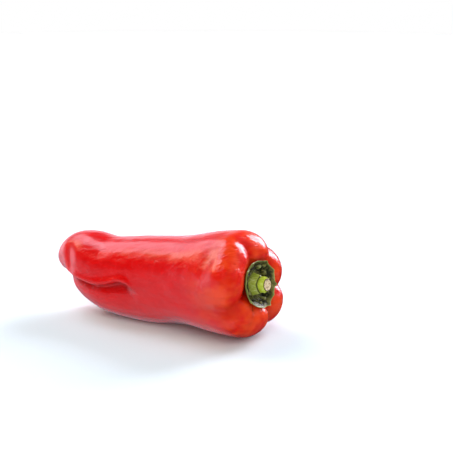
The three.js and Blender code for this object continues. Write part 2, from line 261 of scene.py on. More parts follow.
def smooth_rows(rows, place):
    """Follows rows of numbers smoothly. The first column holds the places of the rows, and each
    other column is given back as an array over the wanted places."""
    table = np.asarray(rows, float)
    x, y = table[:, 0], table[:, 1:]
    slope = np.empty_like(y)
    slope[1:-1] = (y[2:] - y[:-2]) / (x[2:] - x[:-2])[:, None]
    slope[0] = (y[1] - y[0]) / (x[1] - x[0])
    slope[-1] = (y[-1] - y[-2]) / (x[-1] - x[-2])
    at = np.clip(place, x[0], x[-1])
    i = np.clip(np.searchsorted(x, at, side="right") - 1, 0, len(x) - 2)
    step = (x[i + 1] - x[i])[..., None]
    s = (at - x[i])[..., None] / step
    rise = s * s * (3 - 2 * s)
    leave = s * (1 - s) ** 2 * step
    arrive = s * s * (s - 1) * step
    value = y[i] + (y[i + 1] - y[i]) * rise + slope[i] * leave + slope[i + 1] * arrive
    return np.moveaxis(value, -1, 0)


def turn_between(start, end):
    """Signed difference of two angles in degrees."""
    return (end - start + 180) % 360 - 180


def bump(distance, width):
    """1 at no distance, and close to 0 beyond twice the width."""
    return np.exp(-((distance / width) ** 2))


def step_up(low, high, value):
    """0 below low, 1 above high, and smooth between them."""
    s = np.clip((value - low) / (high - low), 0, 1)
    return s * s * (3 - 2 * s)


# ---------------------------------------------------------------- the pepper's surface, in mm
def oval_radius(angle, up, across):
    """Radius of a full-cheeked oval of the given half sizes, at an angle from its top."""
    c = np.abs(np.cos(angle) / np.maximum(up, 1e-3))
    s = np.abs(np.sin(angle) / np.maximum(across, 1e-3))
    return (c ** SECTION_POWER + s ** SECTION_POWER) ** (-1 / SECTION_POWER)


def bend_stem_end(points):
    """Bends the stem's end of the pepper towards the stem's axis."""
    run = (points[..., 0] + BEND_START) / BEND_RUN
    amount = np.clip(run, 0, 1)
    travel = np.where(run < 1, amount ** 2 / 2, run - 0.5) * BEND_RUN
    turn, rise = math.tan(math.radians(STEM_TURN)), math.tan(math.radians(STEM_RISE))
    shear = -points[..., 1] * turn - (points[..., 2] - SHOULDER_HEIGHT / 2) * rise
    return points + np.stack([shear * amount, travel * turn, travel * rise], -1)


def smooth_point(v, angle):
    """Points on the smooth body, before its valleys and its fold. v is the place on a meridian,
    from 0 at the stem to 1 at the nose, and angle is measured from the crest, in radians."""
    on_shoulder = v < SHOULDER_SHARE
    place = np.clip((v - SHOULDER_SHARE) / (1 - SHOULDER_SHARE), 0, 1)
    crest_back, crest_up, keel_back, keel_up, near, far = smooth_rows(RIBS, place)
    nothing = 0 * place
    crest = np.stack([-crest_back * BODY_REACH, nothing, crest_up * SHOULDER_HEIGHT], -1)
    keel = np.stack([-keel_back * BODY_REACH, nothing, keel_up * SHOULDER_HEIGHT], -1)
    height = np.linalg.norm(crest - keel, axis=-1)
    up = (crest - keel) / np.maximum(height, 1e-6)[..., None]
    forward = np.stack([up[..., 2], nothing, -up[..., 0]], -1)
    half_width = np.where(np.sin(angle) > 0, far, near) * SHOULDER_WIDTH
    section = oval_radius(angle, height / 2, half_width)
    quarter = np.clip(v / SHOULDER_SHARE, 0, 1) * math.pi / 2
    share = np.where(on_shoulder, np.sin(quarter), 1)
    dome = SHOULDER_DEPTH * np.maximum(1 - share ** SHOULDER_POWER, 0) ** (1 / SHOULDER_POWER)
    hollow = HOLLOW_DEPTH * np.exp(-((share * section / HOLLOW_RADIUS) ** HOLLOW_POWER))
    out = np.where(on_shoulder, dome - hollow, 0)
    points = (crest + keel) / 2 + (share * section * np.cos(angle))[..., None] * up
    points[..., 1] += share * section * np.sin(angle)
    return bend_stem_end(points + out[..., None] * forward)


def relief(v, angle):
    """Height of the lobed surface over the smooth body; below zero in the valleys and the fold."""
    degrees = np.degrees(angle)
    height = np.zeros(np.broadcast(v, angle).shape)
    for rows in VALLEYS:
        middle, depth, width = smooth_rows(rows, v)
        rounding = VALLEY_ROUNDING * width
        away = np.hypot(turn_between(middle, degrees), rounding) - rounding
        height -= np.maximum(depth, 0) * np.exp(-away / width)
    for place, middle, swell, reach, spread in SWELLINGS:
        height += swell * bump(v - place, reach) * bump(turn_between(middle, degrees), spread)
    lip, share, below, above = smooth_rows(FOLD, v)
    depth = np.where(v > FOLD[0][0], np.maximum(share, 0) * FOLD_DEPTH, 0)
    over = turn_between(lip, degrees)
    height -= depth * np.exp(-np.abs(over / np.where(over > 0, above, below)) ** FOLD_POWER)
    roll, middle, width = smooth_rows(LIP_ROLL, v)
    return height + np.maximum(roll, 0) * bump(over - middle, width)


def outward(v, angle):
    """Directions that stand square on the smooth body."""
    nudge = 1e-3
    ahead, behind = np.minimum(v + nudge, 1), np.maximum(v - nudge, 0)
    along = smooth_point(ahead, angle) - smooth_point(behind, angle)
    around = smooth_point(v, angle + nudge) - smooth_point(v, angle - nudge)
    normal = np.cross(around, along)
    return normal / np.maximum(np.linalg.norm(normal, axis=-1, keepdims=True), 1e-9)


def skin_point(v, angle):
    """Points on the finished skin, which stops softly at the plane that the pepper rests on."""
    points = smooth_point(v, angle) + outward(v, angle) * relief(v, angle)[..., None]
    z, soft = points[..., 2], RESTING_ROUND
    points[..., 2] = np.where(z > soft, z, soft * np.exp((np.minimum(z, soft) - soft) / soft))
    return points


STEM_AXIS = np.array([
    1, math.tan(math.radians(STEM_TURN)), math.tan(math.radians(STEM_RISE))])
STEM_AXIS /= np.linalg.norm(STEM_AXIS)


def seat_point(radius, angle, lift):
    """Points over the hollow of the shoulders, at a radius from the stem's axis and lifted along
    it, both in millimetres."""
    _, crest_up, _, keel_up, near, far = smooth_rows(RIBS, 0.0)
    half_width = np.where(np.sin(angle) > 0, far, near) * SHOULDER_WIDTH
    section = oval_radius(angle, (crest_up - keel_up) / 2 * SHOULDER_HEIGHT, half_width)
    v = SHOULDER_SHARE * np.arcsin(np.minimum(radius / section, 1)) / (math.pi / 2)
    return smooth_point(v, angle) + lift[..., None] * STEM_AXIS


# ---------------------------------------------------------------- placing and making meshes
def body_box():
    """Corners of the finished skin's own box, in millimetres."""
    along, around = np.linspace(0, 1, 260), np.linspace(0, 2 * math.pi, 240)
    points = skin_point(*np.meshgrid(along, around, indexing="ij")).reshape(-1, 3)
    return points.min(0), points.max(0)


OWN_LOW, OWN_HIGH = body_box()
FRUIT_LOW, FRUIT_HIGH = [np.array(corner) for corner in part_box("fruit")]
SCALE = (FRUIT_HIGH - FRUIT_LOW) / (OWN_HIGH - OWN_LOW)


def to_frame(points):
    """Millimetres in the pepper's own frame to metres in the CAD frame."""
    return (points - OWN_LOW) * SCALE + FRUIT_LOW


def mesh_object(name, points, faces, attributes=None):
    """An object with a mesh of its own. attributes maps names to one number for each point."""
    mesh = bpy.data.meshes.new(name)
    mesh.from_pydata(points.tolist(), [], faces)
    for key, values in (attributes or {}).items():
        stored = mesh.attributes.new(key, "FLOAT", "POINT")
        stored.data.foreach_set("value", values.astype(np.float32))
    mesh.validate()
    piece = bpy.data.objects.new(name, mesh)
    bpy.context.scene.collection.objects.link(piece)
    return piece


def ring_faces(rings, around):
    """Faces of a closed surface whose points are numbered in order: a first pole, rings of
    points, and a last pole."""
    steps = [(k, (k + 1) % around) for k in range(around)]
    faces = [(0, 1 + n, 1 + k) for k, n in steps]
    for ring in range(rings - 1):
        low, high = 1 + ring * around, 1 + (ring + 1) * around
        faces += [(low + k, low + n, high + n, high + k) for k, n in steps]
    low, last = 1 + (rings - 1) * around, 1 + rings * around
    return faces + [(low + k, low + n, last) for k, n in steps]


def apply_modifiers(piece):
    """Turns a piece and its modifiers into a plain mesh."""
    graph = bpy.context.evaluated_depsgraph_get()
    mesh = bpy.data.meshes.new_from_object(
        piece.evaluated_get(graph), preserve_all_data_layers=True, depsgraph=graph)
    piece.modifiers.clear()
    old, piece.data = piece.data, mesh
    mesh.name = piece.name
    bpy.data.meshes.remove(old)


# ---------------------------------------------------------------- camera, floor and lights
BOX_SIZE = CAD_HIGH - CAD_LOW
BOX_MIDDLE = (CAD_HIGH + CAD_LOW) / 2
LENGTH = BOX_SIZE.x
VIEW_AZIMUTH = math.radians(28)
VIEW_ELEVATION = math.radians(15)
VIEW_DISTANCE = 4.29 * LENGTH
AIM_RIGHT = 0.265 * LENGTH  # the camera looks past the pepper, which lies low and left in view
AIM_UP = 0.18 * LENGTH
LENS = 85  # mm
SENSOR_WIDTH = 36  # mm
FLOOR_REACH = 60 * LENGTH
BACKDROP_RADIUS = 14 * LENGTH
BACKDROP_SIDES = 64
BACKDROP_DROP = 0.01  # metres that its foot reaches below the floor
ROOM_GLOW = 0.08  # strength of the room away from its panels

# Panels of light in the room: the middle, the reach to each side of it, the softness of the edge,
# and the strength. The middle and the reach are an azimuth, from the front towards the right, and
# an elevation; all angles are in degrees.
ROOM_PANELS = (
    ((-20, -50), (65, 24), 10, 0.9),  # sheen of the paper in front
    ((-60, -8), (58, 20), 8, 0.85),  # paper further off and low wall, front left
    ((-110, -42), (34, 24), 10, 0.55),  # sheen of the paper on the left
    ((-112, 3), (48, 14), 10, 1.3),  # pale backdrop, low down on the left
    ((-106, 44), (26, 13), 5, 4.0),  # large window, left and a little behind
    ((-106, 60), (26, 8), 5, 6.5),  # its brighter top
    ((165, 27), (16, 19), 3, 15.0),  # narrow panel, behind and a little to the right
    ((120, 42), (32, 26), 6, 0.5),  # weak wall on the right
)
WARM_LAMP = ((-82, 38), (13, 8), 6, 5.0)  # beside the window, towards the front


def make_camera():
    back = Vector((
        math.sin(VIEW_AZIMUTH) * math.cos(VIEW_ELEVATION),
        -math.cos(VIEW_AZIMUTH) * math.cos(VIEW_ELEVATION),
        math.sin(VIEW_ELEVATION),
    ))
    right = Vector((math.cos(VIEW_AZIMUTH), math.sin(VIEW_AZIMUTH), 0))
    up = back.cross(right)
    camera = bpy.data.objects.new("camera", bpy.data.cameras.new("camera"))
    camera.data.lens = LENS
    camera.data.sensor_width = SENSOR_WIDTH
    camera.location = BOX_MIDDLE + right * AIM_RIGHT + up * AIM_UP + back * VIEW_DISTANCE
    camera.rotation_euler = Matrix((right, up, back)).transposed().to_euler()
    bpy.context.scene.collection.objects.link(camera)
    bpy.context.scene.camera = camera


def softbox(tree, azimuth, elevation, middle, reach, edge, strength):
    """Light of one panel, in the direction of the given azimuth and elevation."""
    calc = partial(tree_math, tree)
    light = float(strength)
    for angle, at, half in zip((azimuth, elevation), middle, reach):
        away = calc("WRAP", calc("SUBTRACT", angle, float(at)), 180.0, -180.0)
        inside = remap(tree, calc("ABSOLUTE", away), half + edge, half - edge)
        light = calc("MULTIPLY", light, inside)
    return light


def make_room():
    """A dim studio with cool light from its panels, and a warm lamp."""
    world = bpy.data.worlds.new("studio room")
    world.use_nodes = True
    tree = world.node_tree
    calc = partial(tree_math, tree)
    direction = add_node(tree, "ShaderNodeTexCoord").outputs["Generated"]
    x, y, z = add_node(tree, "ShaderNodeSeparateXYZ", {0: direction}).outputs
    azimuth = calc("DEGREES", calc("ARCTAN2", x, calc("MULTIPLY", y, -1.0)))
    elevation = calc("DEGREES", calc("ARCSINE", z))
    cool = ROOM_GLOW
    for panel in ROOM_PANELS:
        cool = calc("ADD", cool, softbox(tree, azimuth, elevation, *panel))
    warm = softbox(tree, azimuth, elevation, *WARM_LAMP)
    both = calc("ADD", cool, warm)
    warmth = calc("DIVIDE", warm, both)
    feed(tree, tree.nodes["Background"], {
        "Color": mix_colour(tree, warmth, "#F1EEFF", "#FFD9A8"), "Strength": both})
    bpy.context.scene.world = world


def sun_light(name, azimuth, elevation, spread, power):
    """A broad soft light that fills the shade and shows no reflection of its own. Angles are in
    degrees."""
    light = bpy.data.lights.new(name, "SUN")
    light.energy = power
    light.angle = math.radians(spread)
    lamp = bpy.data.objects.new(name, light)
    lamp.rotation_euler = (math.radians(90 - elevation), 0, math.radians(azimuth))
    lamp.visible_glossy = False
    bpy.context.scene.collection.objects.link(lamp)


def make_studio():
    make_room()
    sun_light("front fill", azimuth=25, elevation=40, spread=60, power=1.9)
    bpy.context.scene.view_settings.view_transform = "Standard"
    make_floor(FLOOR_REACH)
    make_backdrop(BACKDROP_RADIUS)


def make_floor(reach):
    """Matt white paper that the pepper lies on and that is not mirrored in its skin."""
    paper, tree, shader = new_material("white studio paper")
    feed(tree, shader, {
        "Base Color": linear("#D8E7E6"), "Roughness": 0.9, "Specular IOR Level": 0.1})
    corners = np.array([(-reach, -reach), (reach, -reach), (reach, reach), (-reach, reach)])
    level = np.full((4, 1), CAD_LOW.z)
    floor = mesh_object("floor", np.hstack([corners, level]), [(0, 1, 2, 3)])
    floor.data.materials.append(paper)
    floor.visible_glossy = False
    return floor


def make_backdrop(radius):
    """A plain white wall all the way round, seen behind the pepper but casting no light on it."""
    glow, tree, shader = new_material("white backdrop")
    feed(tree, shader, {
        "Base Color": (0, 0, 0, 1), "Specular IOR Level": 0,
        "Emission Color": (1, 1, 1, 1), "Emission Strength": 1})
    sides = range(BACKDROP_SIDES)
    turns = np.array(sides) / BACKDROP_SIDES * 2 * math.pi
    level = np.full(BACKDROP_SIDES, CAD_LOW.z - BACKDROP_DROP)
    foot = np.stack([radius * np.cos(turns), radius * np.sin(turns), level], -1)
    steps = [(k, (k + 1) % BACKDROP_SIDES) for k in sides]
    faces = [(k, n, BACKDROP_SIDES + n, BACKDROP_SIDES + k) for k, n in steps]
    wall = mesh_object("backdrop", np.concatenate([foot, foot + (0, 0, radius)]), faces)
    wall.data.materials.append(glow)
    wall.visible_diffuse = False
    wall.visible_glossy = False
    wall.visible_transmission = False
    wall.visible_shadow = False
    return wall


# ---------------------------------------------------------------- materials
def ramp(tree, value, *stops):
    """A colour ramp over value. Each stop is a position and an sRGB hex colour."""
    node = add_node(tree, "ShaderNodeValToRGB", {"Fac": value})
    elements = node.color_ramp.elements
    while len(elements) < len(stops):
        elements.new(0.5)
    for element, (position, colour) in zip(elements, stops):
        element.position = position
        element.color = linear(colour)
    return node.outputs["Color"]


def attribute(tree, name):
    return add_node(tree, "ShaderNodeAttribute", attribute_name=name).outputs["Fac"]


def bumpy(tree, height, distance_mm, strength):
    """A normal for skin that looks uneven by the given distance."""
    values = {"Height": height, "Distance": distance_mm * MM, "Strength": strength}
    return add_node(tree, "ShaderNodeBump", values).outputs["Normal"]


def stretched_noise(tree, spacing, detail, turn=0):
    """Noise on Object coordinates, with a spacing in millimetres along X, Y and Z, turned by
    degrees about Z."""
    place = add_node(tree, "ShaderNodeTexCoord").outputs["Object"]
    mapping = add_node(tree, "ShaderNodeMapping", {
        "Vector": place,
        "Scale": [step * MM for step in spacing],
        "Rotation": (0, 0, math.radians(turn)),
    }, vector_type="TEXTURE")
    return add_node(tree, "ShaderNodeTexNoise", {
        "Vector": mapping.outputs["Vector"], "Scale": 1.0, "Detail": detail, "Roughness": 0.55,
    }).outputs["Fac"]


def pepper_skin():
    """Ripe sweet pepper: thick wet flesh under a clear waxy skin. It looks deep and saturated,
    turns orange-red near the stem, and its gloss is sharp but broken by fine wrinkles."""
    material, tree, shader = new_material("ripe red pepper skin")
    calc = partial(tree_math, tree)
    # patches of a slightly brighter red, 30 to 45 mm apart
    reds = ramp(tree, stretched_noise(tree, (45, 30, 30), 3.0), (0.3, "#CB0202"), (0.72, "#DA0603"))
    # orange-red blotches round the stem, 15 to 20 mm apart
    blotches = remap(tree, stretched_noise(tree, (20, 15, 15), 2.0), 0.36, 0.62, 0.15, 1.0)
    near_stem = remap(tree, attribute(tree, "along"), 0.36, 0.1, 0.0, 0.85)
    warm = mix_colour(tree, calc("MULTIPLY", near_stem, blotches), reds, "#E64414")
    # painted shade: darker red where a valley or the fold is 1 to 6 mm deep
    painted_shade_in_hollows = remap(tree, attribute(tree, "hollow"), 1.0, 6.0, 0.0, 0.5)
    deep = mix_colour(tree, painted_shade_in_hollows, warm, "#A80202")
    # wrinkles a few tenths of a millimetre wide in life, drawn 2 mm wide so that they show, over
    # ripples 9 mm wide
    wrinkles = stretched_noise(tree, (12, 2, 2), 2.0, 55)
    ripples = stretched_noise(tree, (22, 9, 9), 1.0, 20)
    uneven = calc("MULTIPLY_ADD", ripples, 3.5, wrinkles)
    feed(tree, shader, {
        "Base Color": deep,
        "Normal": bumpy(tree, uneven, 0.65, 0.85),
        "Roughness": 0.27,
        "IOR": 1.26,
        "Coat Weight": 0.4,
        "Coat Roughness": 0.1,
        "Subsurface Weight": 0.1,
        "Subsurface Radius": (1.0, 0.25, 0.12),
        "Subsurface Scale": 4 * MM,
    })
    return material


def calyx_leaf():
    """Fresh calyx: a leathery olive leaf with a thin wax, crumpled and satin, greener and paler
    on its edge. Painted shade makes it nearly black in its creases and dark in its dips, and a
    painted highlight makes the crests of its folds paler."""
    material, tree, shader = new_material("green calyx leaf")
    patches = stretched_noise(tree, (4, 4, 4), 3.0)
    greens = ramp(tree, patches, (0.32, "#4A4818"), (0.5, "#67642C"), (0.7, "#86784A"))
    crumple = attribute(tree, "crumple")
    # painted highlight: paler on the crests of the folds; painted shade: nearly black in the
    # creases and dark in the dips on either side of the raised ring
    painted_highlight_on_folds = remap(tree, crumple, 0.1, 0.7, 0.0, 0.75)
    painted_shade_in_creases = remap(tree, crumple, 0.05, -0.4, 0.0, 0.95)
    painted_shade_in_dips = remap(tree, attribute(tree, "raised"), 0.1, -0.5, 0.0, 0.6)
    on_edge = remap(tree, attribute(tree, "edge"), 0.0, 1.0, 0.0, 0.7)
    colour = mix_colour(tree, painted_highlight_on_folds, greens, "#98A262")
    colour = mix_colour(tree, painted_shade_in_creases, colour, "#121405")
    colour = mix_colour(tree, painted_shade_in_dips, colour, "#20230C")
    colour = mix_colour(tree, on_edge, colour, "#8FA852")
    grain = stretched_noise(tree, (0.8, 0.8, 0.8), 3.0)
    feed(tree, shader, {
        "Base Color": colour,
        "Normal": bumpy(tree, grain, 0.3, 0.7),
        "Roughness": 0.34,
        "IOR": 1.45,
    })
    return material


def stem_flesh():
    """Fresh stem: smooth, juicy, yellow-green and slightly glossy, with a dry, pale, pithy cut
    face."""
    material, tree, shader = new_material("green stem with a dry cut face")
    height = attribute(tree, "height")
    streaks = stretched_noise(tree, (4.0, 0.9, 0.9), 3.0)
    greens = ramp(tree, streaks, (0.3, "#82902A"), (0.52, "#AAB448"), (0.75, "#D6DB9A"))
    at_foot = remap(tree, height, 0.3, 0.0, 0.0, 0.75)
    on_collar = remap(tree, height, 0.62, 0.72, 0.0, 0.7)
    # painted shade: darker olive in the groove between the foot and the collar
    painted_shade_in_groove = tree_math(
        tree, "MULTIPLY", remap(tree, height, 0.53, 0.58), remap(tree, height, 0.66, 0.6))
    pith = ramp(tree, stretched_noise(tree, (1.3, 1.3, 1.3), 3.0),
                (0.32, "#8A6450"), (0.45, "#C9AE86"), (0.6, "#E0CFA6"), (0.8, "#EFE3C4"))
    colour = mix_colour(tree, at_foot, greens, "#454E12")
    colour = mix_colour(tree, on_collar, colour, "#B4C62C")
    colour = mix_colour(tree, painted_shade_in_groove, colour, "#4A4E14")
    colour = mix_colour(tree, attribute(tree, "rim"), colour, "#4B2E16")
    colour = mix_colour(tree, attribute(tree, "cut"), colour, pith)
    feed(tree, shader, {
        "Base Color": colour,
        "Roughness": remap(tree, attribute(tree, "cut"), 0.0, 1.0, 0.24, 0.75),
        "Normal": bumpy(tree, streaks, 0.2, 0.5),
        "IOR": 1.42,
    })
    return material


# ---------------------------------------------------------------- geometry trees
def node_tree(name, **sockets):
    """A geometry tree with a Geometry input and output, and named inputs with their defaults."""
    tree = bpy.data.node_groups.new(name, "GeometryNodeTree")
    tree.interface.new_socket("Geometry", in_out="INPUT", socket_type="NodeSocketGeometry")
    kinds = {
        float: "NodeSocketFloat", int: "NodeSocketInt", bpy.types.Material: "NodeSocketMaterial"}
    for key, value in sockets.items():
        socket = tree.interface.new_socket(
            key.replace("_", " "), in_out="INPUT", socket_type=kinds[type(value)])
        socket.default_value = value
    tree.interface.new_socket("Geometry", in_out="OUTPUT", socket_type="NodeSocketGeometry")
    return tree, add_node(tree, "NodeGroupInput").outputs


def close_tree(tree, geometry, material):
    """Ends a tree: smooth shading, real geometry and one material."""
    smooth = add_node(tree, "GeometryNodeSetShadeSmooth", {"Geometry": geometry})
    real = add_node(tree, "GeometryNodeRealizeInstances", {"Geometry": smooth.outputs[0]})
    coated = add_node(tree, "GeometryNodeSetMaterial", {
        "Geometry": real.outputs[0], "Material": material})
    add_node(tree, "NodeGroupOutput", {"Geometry": coated.outputs[0]})


def run_tree(piece, tree, **values):
    """Runs a geometry tree on a piece and keeps the result as its plain mesh."""
    modifier = piece.modifiers.new(tree.name, "NODES")
    modifier.node_group = tree
    wanted = {key.replace("_", " "): value for key, value in values.items()}
    for item in tree.interface.items_tree:
        if item.in_out == "INPUT" and item.name in wanted:
            modifier[item.identifier] = wanted[item.name]
    apply_modifiers(piece)


def tree_noise(tree, vector, spacing, detail, seed):
    """Noise between -0.5 and 0.5, with a spacing in the units of its vector."""
    scale = tree_math(tree, "DIVIDE", 1.0, spacing)
    noise = add_node(tree, "ShaderNodeTexNoise", {
        "Vector": vector, "W": seed, "Scale": scale, "Detail": detail}, noise_dimensions="4D")
    return tree_math(tree, "SUBTRACT", noise.outputs[0], 0.5)


def push_along_normal(tree, geometry, distance):
    normal = add_node(tree, "GeometryNodeInputNormal").outputs["Normal"]
    offset = add_node(tree, "ShaderNodeVectorMath", {0: normal, "Scale": distance},
                      operation="SCALE").outputs[0]
    return add_node(tree, "GeometryNodeSetPosition", {
        "Geometry": geometry, "Offset": offset}).outputs[0]


def named(tree, name):
    """A number that each point of the piece carries."""
    return add_node(tree, "GeometryNodeInputNamedAttribute", {"Name": name},
                    data_type="FLOAT").outputs[0]


def store(tree, geometry, name, value):
    """Gives each point a number that the material reads."""
    return add_node(tree, "GeometryNodeStoreNamedAttribute", {
        "Geometry": geometry, "Name": name, "Value": value,
    }, data_type="FLOAT", domain="POINT").outputs[0]


def uneven_skin(material):
    """Makes a moulded-smooth fruit uneven, as one that grew: soft dents over its length, and
    shallow ripples that run along it."""
    tree, given = node_tree(
        "uneven skin", Dent_height=1.5 * MM, Dent_spacing=26 * MM,
        Ripple_height=0.16 * MM, Ripple_spacing=5 * MM, Ripple_stretch=5.0, Seed=3.0,
        Skin=material)
    calc = partial(tree_math, tree)
    place = add_node(tree, "GeometryNodeInputPosition").outputs[0]
    dents = tree_noise(tree, place, given["Dent spacing"], 1.0, given["Seed"])
    squeezed = calc("DIVIDE", 1.0, given["Ripple stretch"])
    factors = add_node(tree, "ShaderNodeCombineXYZ", {"X": squeezed, "Y": 1.0, "Z": 1.0})
    drawn_out = add_node(tree, "ShaderNodeVectorMath", {0: place, 1: factors.outputs[0]},
                         operation="MULTIPLY").outputs[0]
    ripples = tree_noise(tree, drawn_out, given["Ripple spacing"], 2.0, given["Seed"])
    ripple_height = calc("MULTIPLY", ripples, given["Ripple height"])
    height = calc("MULTIPLY_ADD", dents, given["Dent height"], ripple_height)
    distance = calc("MULTIPLY", height, named(tree, "free"))
    close_tree(tree, push_along_normal(tree, given["Geometry"], distance), given["Skin"])
    return tree


def puckered_leaf(material):
    """Crumples the calyx: folds that run round the stem with sharp creases between them,
    strongest next to the stem, and a fine crinkle over them. Stores how high each point stands,
    in millimetres, as "crumple"."""
    tree, given = node_tree(
        "puckered leaf", Fold_height=3.4 * MM, Fold_spacing=3.2 * MM, Fold_turns=2.6,
        Crinkle_height=0.8 * MM, Crinkle_spacing=1.8 * MM, Seed=11.0, Leaf=material)
    calc = partial(tree_math, tree)
    drawn_out = add_node(tree, "ShaderNodeCombineXYZ", {
        "X": calc("MULTIPLY", named(tree, "around_x"), given["Fold turns"]),
        "Y": calc("MULTIPLY", named(tree, "around_y"), given["Fold turns"]),
        "Z": calc("DIVIDE", named(tree, "outwards"), given["Fold spacing"]),
    }).outputs[0]
    folds = tree_noise(tree, drawn_out, 1.0, 1.0, given["Seed"])
    # creases, where the noise is 0, lie under the smooth leaf, and hills rise to nearly a half
    hills = calc("SUBTRACT", calc("ABSOLUTE", folds), CREASE_DEPTH)
    place = add_node(tree, "GeometryNodeInputPosition").outputs[0]
    crinkle = tree_noise(tree, place, given["Crinkle spacing"], 2.0, given["Seed"])
    crinkle_height = calc("MULTIPLY", crinkle, given["Crinkle height"])
    twice = calc("MULTIPLY", given["Fold height"], 2.0)
    height = calc("MULTIPLY_ADD", hills, twice, crinkle_height)
    masked = calc("MULTIPLY", height, named(tree, "pucker"))
    marked = store(tree, given["Geometry"], "crumple", calc("DIVIDE", masked, MM))
    close_tree(tree, push_along_normal(tree, marked, masked), given["Leaf"])
    return tree


def set_curve(node, rows):
    """Draws a float curve node's curve through rows of place and value."""
    curve = node.mapping.curves[0]
    while len(curve.points) < len(rows):
        curve.points.new(0.5, 0.5)
    for point, row in zip(curve.points, rows):
        point.location = row
    node.mapping.update()


def sap_vessels(tree, given):
    """A ring of dry beads on the cut face of the stem."""
    radius = tree_math(tree, "MULTIPLY", given["Cut radius"], VESSEL_RING)
    ring = add_node(tree, "GeometryNodeMeshCircle", {
        "Vertices": given["Vessels"], "Radius": radius})
    lift = add_node(tree, "ShaderNodeCombineXYZ", {
        "Z": tree_math(tree, "SUBTRACT", given["Length"], VESSEL_SINK * MM)})
    raised = add_node(tree, "GeometryNodeTransform", {
        "Geometry": ring.outputs[0], "Translation": lift.outputs[0]})
    bead = add_node(tree, "GeometryNodeMeshIcoSphere", {
        "Radius": given["Vessel radius"], "Subdivisions": 2})
    smallest, largest = VESSEL_SIZES
    size = add_node(tree, "FunctionNodeRandomValue", {
        2: smallest, 3: largest, "Seed": given["Seed"]}, data_type="FLOAT")
    beads = add_node(tree, "GeometryNodeInstanceOnPoints", {
        "Points": raised.outputs[0], "Instance": bead.outputs[0], "Scale": size.outputs[1]})
    real = add_node(tree, "GeometryNodeRealizeInstances", {"Geometry": beads.outputs[0]})
    return store(tree, real.outputs[0], "cut", 1.0)


def grown_stem(material):
    """The stem: a five-cornered foot, a groove, and a round collar up to the cut face, whose pith
    sinks a little inside a raised rim, with a ring of dry sap vessels standing out of it. It
    stores each point's "height" as a share, and marks the "cut" and its "rim"."""
    tree, given = node_tree(
        "grown stem", Foot_radius=STEM_FOOT_RADIUS * MM, Cut_radius=STEM_CUT_RADIUS * MM,
        Length=STEM_LENGTH * MM, Facet_depth=0.9, Vessels=13, Vessel_radius=0.32 * MM, Seed=5,
        Flesh=material)
    calc = partial(tree_math, tree)
    block = add_node(tree, "GeometryNodeMeshCylinder", {
        "Vertices": 120, "Side Segments": 90, "Fill Segments": 24, "Radius": 1.0, "Depth": 1.0})
    place = add_node(tree, "GeometryNodeInputPosition").outputs[0]
    x, y, z = add_node(tree, "ShaderNodeSeparateXYZ", {0: place}).outputs
    height = calc("ADD", z, 0.5)
    angle = calc("ARCTAN2", y, x)
    reach = calc("SQRT", calc("MULTIPLY_ADD", x, x, calc("MULTIPLY", y, y)))
    # the outline, with corners round the foot
    profile = add_node(tree, "ShaderNodeFloatCurve", {"Value": height})
    set_curve(profile, STEM_PROFILE)
    wide = calc("SUBTRACT", given["Foot radius"], given["Cut radius"])
    radius = calc("MULTIPLY_ADD", profile.outputs[0], wide, given["Cut radius"])
    sector = 2 * math.pi / STEM_CORNERS
    turned = calc("SUBTRACT", calc("FLOORED_MODULO", angle, sector), sector / 2)
    facets = calc("DIVIDE", math.cos(sector / 2), calc("COSINE", turned))
    hewn = calc("MULTIPLY", calc("SUBTRACT", facets, 1.0), given["Facet depth"])
    cornered = calc("MULTIPLY_ADD", hewn, remap(tree, height, *CORNERS_FADE), 1.0)
    across = calc("MULTIPLY", reach, calc("MULTIPLY", radius, cornered))
    # the cut face: a raised rim round sunken pith
    on_top = calc("GREATER_THAN", height, 0.9999)
    sunk = calc("MULTIPLY", remap(tree, reach, *PITH_EDGE, 0.0, -PITH_SINK * MM), on_top)
    shape = add_node(tree, "ShaderNodeCombineXYZ", {
        "X": calc("MULTIPLY", across, calc("COSINE", angle)),
        "Y": calc("MULTIPLY", across, calc("SINE", angle)),
        "Z": calc("MULTIPLY_ADD", height, given["Length"], sunk),
    }).outputs[0]
    cut = calc("MULTIPLY", on_top, calc("LESS_THAN", reach, 0.9))
    near_top, near_side = calc("GREATER_THAN", height, 0.975), calc("GREATER_THAN", reach, 0.86)
    geometry = store(tree, block.outputs["Mesh"], "height", height)
    geometry = store(tree, geometry, "cut", cut)
    geometry = store(tree, geometry, "rim", calc("MULTIPLY", near_top, near_side))
    shaped = add_node(tree, "GeometryNodeSetPosition", {
        "Geometry": geometry, "Position": shape}).outputs[0]
    place = add_node(tree, "GeometryNodeInputPosition").outputs[0]
    lumps = tree_noise(tree, place, PITH_LUMPS * MM, 2.0, 1.0)
    rough = push_along_normal(tree, shaped, calc("MULTIPLY", lumps, PITH_ROUGHNESS * MM))
    both = add_node(tree, "GeometryNodeJoinGeometry")
    for part in (sap_vessels(tree, given), rough):
        tree.links.new(part, both.inputs[0])
    close_tree(tree, both.outputs[0], given["Flesh"])
    return tree


# ---------------------------------------------------------------- the three pieces
FRUIT_AROUND = 300
FRUIT_SHOULDER_RINGS = 96
FRUIT_BODY_RINGS = 220
SHOULDER_CROWDING = 1.15  # above 1 the rings of the body stand closer at the shoulders
CROWDING = 0.35  # how much closer the lines along the fruit stand near the fold
FOLLOW_REACH = 45  # degrees from the fold within which these lines follow its lip


